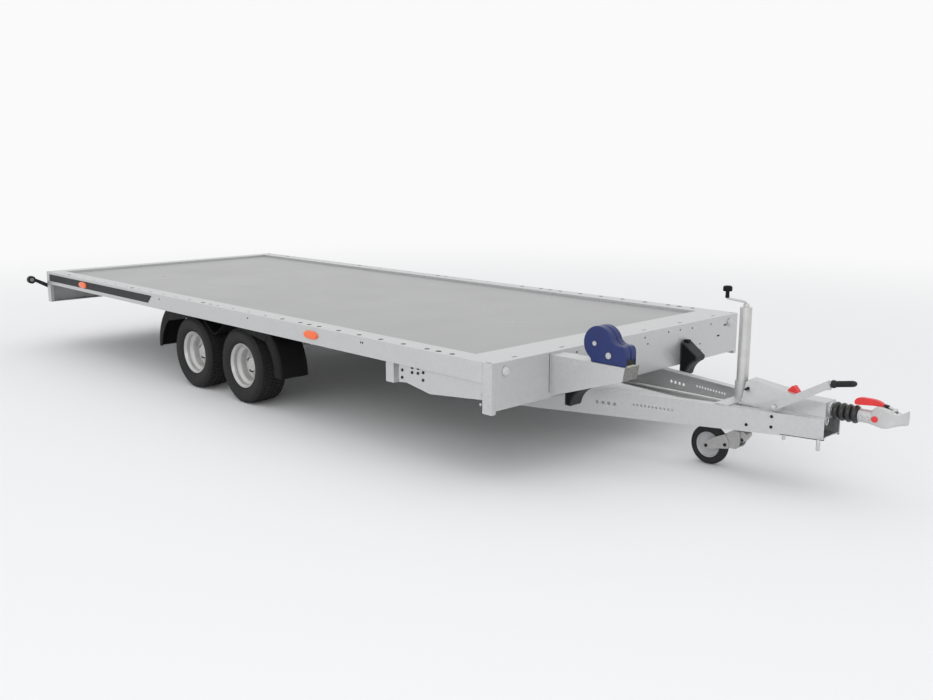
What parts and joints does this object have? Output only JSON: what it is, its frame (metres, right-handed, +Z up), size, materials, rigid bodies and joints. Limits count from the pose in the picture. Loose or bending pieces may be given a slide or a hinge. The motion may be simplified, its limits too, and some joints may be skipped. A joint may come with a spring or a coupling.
{
  "type": "flatbed car trailer",
  "caption": "Low flatbed trailer for carrying a car, with close-set twin axles, V drawbar, overrun ball coupling, jockey wheel and winch.",
  "frame": {"origin": "on the ground, under the middle of the whole trailer", "axes": "+X forward to the coupling, +Y to the trailer's left, +Z up"},
  "size_m": [6.492, 2.3898, 0.907],
  "materials": {
    "galvanised": "satin hot-dip zinc",
    "zinc_plate": "bright zinc plate",
    "deck": "matte grey panel",
    "cast_metal": "grey painted casting",
    "rim_silver": "silver paint",
    "tyre_rubber": "matte rubber",
    "black_rubber": "matte rubber",
    "black_plastic": "moulded plastic",
    "grey_plastic": "moulded plastic",
    "red_plastic": "moulded plastic",
    "winch_paint": "gloss dark blue",
    "amber_lens": "amber lens",
    "clear_lens": "clear lens",
    "red_lens": "red lens",
    "plate_white": "blank plate"
  },
  "bodies": {
    "trailer": {"side_rail_left": "galvanised", "side_rail_right": "galvanised", "front_beam": "galvanised", "rear_beam": "galvanised", "corner_posts": "galvanised", "deck_panel": "deck", "cross_members": "galvanised", "drawbar_carrier": "galvanised", "corner_gussets": "galvanised", "chassis_rails": "galvanised", "drawbar_left": "galvanised", "drawbar_right": "galvanised", "overrun_housing": "zinc_plate", "bellows": "black_rubber", "brake_rod": "zinc_plate", "jockey_clamp": "zinc_plate", "jockey_tube": "zinc_plate", "axle_front": "galvanised", "axle_rear": "galvanised", "mudguard_left": "black_plastic", "mudguard_right": "black_plastic", "winch_console": "galvanised", "winch_cover": "winch_paint", "wheel_chocks": "black_plastic", "side_markers": "amber_lens", "front_lamps": "clear_lens", "tail_lamps": "red_lens", "marker_arms": "black_rubber", "marker_lenses": "clear_lens", "number_plate": "plate_white"},
    "overrun_head": {"drawtube": "zinc_plate", "coupling_head": "cast_metal"},
    "coupling_grab": {"coupling_handle": "red_plastic"},
    "handbrake": {"handbrake_lever": "zinc_plate", "handbrake_grip": "black_plastic"},
    "jockey_leg": {"jockey_leg": "zinc_plate"},
    "jockey_swivel": {"jockey_fork": "zinc_plate"},
    "jockey_roller": {"jockey_disc": "grey_plastic", "jockey_tyre": "black_rubber"},
    "jockey_handle": {"jockey_crank": "zinc_plate", "jockey_knob": "black_plastic"},
    "wheel_fl": {"drum_fl": "cast_metal", "rim_fl": "rim_silver", "tyre_fl": "tyre_rubber"},
    "wheel_fr": {"drum_fr": "cast_metal", "rim_fr": "rim_silver", "tyre_fr": "tyre_rubber"},
    "wheel_rl": {"drum_rl": "cast_metal", "rim_rl": "rim_silver", "tyre_rl": "tyre_rubber"},
    "wheel_rr": {"drum_rr": "cast_metal", "rim_rr": "rim_silver", "tyre_rr": "tyre_rubber"}
  },
  "joints": [
    {"name": "wheel_fl_spin", "type": "hinge", "parent": "trailer", "child": "wheel_fl", "pos_m": [-0.389, 0.92, 0.234], "axis": [0, 1, 0], "continuous": true},
    {"name": "wheel_fr_spin", "type": "hinge", "parent": "trailer", "child": "wheel_fr", "pos_m": [-0.389, -0.92, 0.234], "axis": [0, 1, 0], "continuous": true},
    {"name": "wheel_rl_spin", "type": "hinge", "parent": "trailer", "child": "wheel_rl", "pos_m": [-0.975, 0.92, 0.234], "axis": [0, 1, 0], "continuous": true},
    {"name": "wheel_rr_spin", "type": "hinge", "parent": "trailer", "child": "wheel_rr", "pos_m": [-0.975, -0.92, 0.234], "axis": [0, 1, 0], "continuous": true},
    {"name": "overrun_slide", "type": "slide", "parent": "trailer", "child": "overrun_head", "axis": [1, 0, 0], "range_m": [-0.09, 0], "deforming": ["bellows"]},
    {"name": "coupling_grab_lift", "type": "hinge", "parent": "overrun_head", "child": "coupling_grab", "pos_m": [3.187, 0, 0.436], "axis": [0, 1, 0], "range_deg": [0, 60]},
    {"name": "handbrake_pull", "type": "hinge", "parent": "trailer", "child": "handbrake", "pos_m": [2.699, -0.1201, 0.389], "axis": [0, -1, 0], "range_deg": [0, 56]},
    {"name": "jockey_extend", "type": "slide", "parent": "trailer", "child": "jockey_leg", "axis": [0, 0, -1], "range_m": [0, 0.15]},
    {"name": "jockey_turn", "type": "hinge", "parent": "jockey_leg", "child": "jockey_swivel", "pos_m": [2.455, 0, 0.2], "axis": [0, 0, 1], "continuous": true},
    {"name": "jockey_roll", "type": "hinge", "parent": "jockey_swivel", "child": "jockey_roller", "pos_m": [2.295, 0, 0.1], "axis": [0, 1, 0], "continuous": true},
    {"name": "jockey_crank_turn", "type": "hinge", "parent": "trailer", "child": "jockey_handle", "pos_m": [2.455, 0, 0.823], "axis": [0, 0, 1], "continuous": true}
  ]
}
